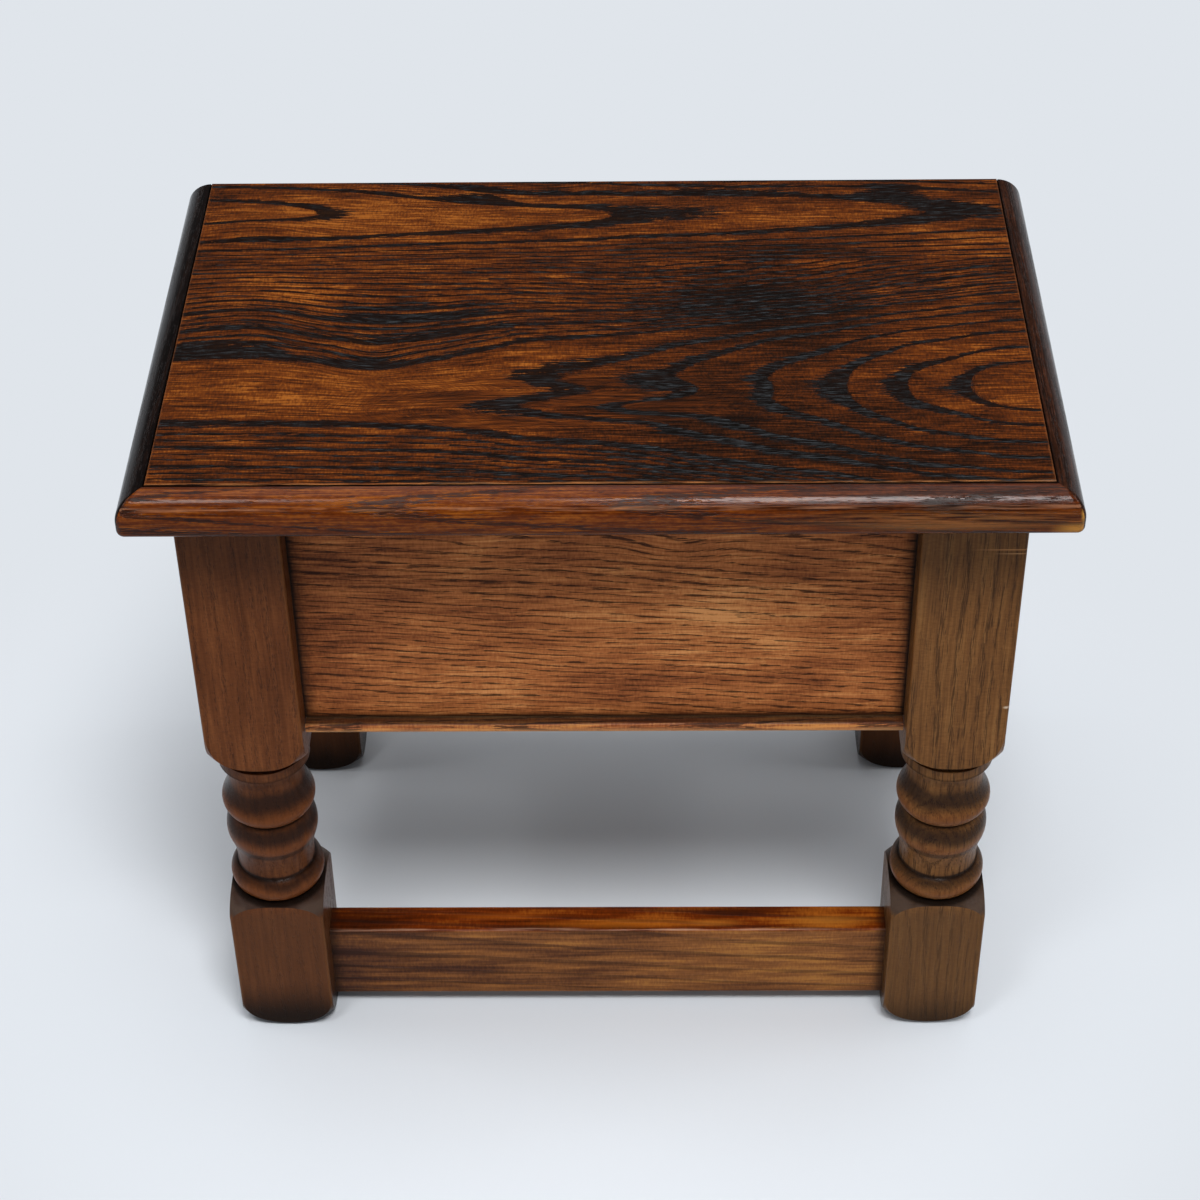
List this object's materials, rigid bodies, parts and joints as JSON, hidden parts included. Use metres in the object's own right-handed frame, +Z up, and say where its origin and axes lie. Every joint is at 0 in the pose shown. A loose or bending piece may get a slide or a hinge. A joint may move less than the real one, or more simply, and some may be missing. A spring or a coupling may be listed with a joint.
{
  "type": "slipper box",
  "caption": "Oak slipper box: a low box stool with a hinged, moulded plank lid over a boarded compartment, on turned legs tied by a front stretcher.",
  "frame": {"origin": "on the floor, under the middle of the box's overall outline with the lid shut", "axes": "+X to the right as seen from the front, +Y from the front to the hinged back, +Z up"},
  "size_m": [0.46, 0.293, 0.404],
  "materials": {
    "lid_oak": "polished, bold dark grain",
    "moulding_oak": "glossy polished",
    "frame_oak": "satin polished",
    "board_oak": "satin polished",
    "bottom_oak": "satin polished",
    "hinge_brass": "dulled",
    "screw_steel": "dark"
  },
  "bodies": {
    "base": {"front_left_leg": "frame_oak", "front_right_leg": "frame_oak", "back_left_leg": "frame_oak", "back_right_leg": "frame_oak", "front_board": "board_oak", "back_board": "board_oak", "left_board": "board_oak", "right_board": "board_oak", "bottom_board": "bottom_oak", "front_stretcher": "frame_oak", "left_hinge_base_leaf": "hinge_brass", "right_hinge_base_leaf": "hinge_brass", "left_hinge_pin": "hinge_brass", "right_hinge_pin": "hinge_brass", "hinge_base_screws": "screw_steel", "bottom_screws": "screw_steel"},
    "lid": {"lid_front_plank": "lid_oak", "lid_back_plank": "lid_oak", "lid_front_moulding": "moulding_oak", "lid_left_moulding": "moulding_oak", "lid_right_moulding": "moulding_oak", "left_hinge_lid_leaf": "hinge_brass", "right_hinge_lid_leaf": "hinge_brass", "hinge_lid_screws": "screw_steel"}
  },
  "joints": [
    {"name": "lid_hinge", "type": "hinge", "parent": "base", "child": "lid", "pos_m": [0, 0.1435, 0.382], "axis": [-1, 0, 0], "range_deg": [0, 105]}
  ]
}
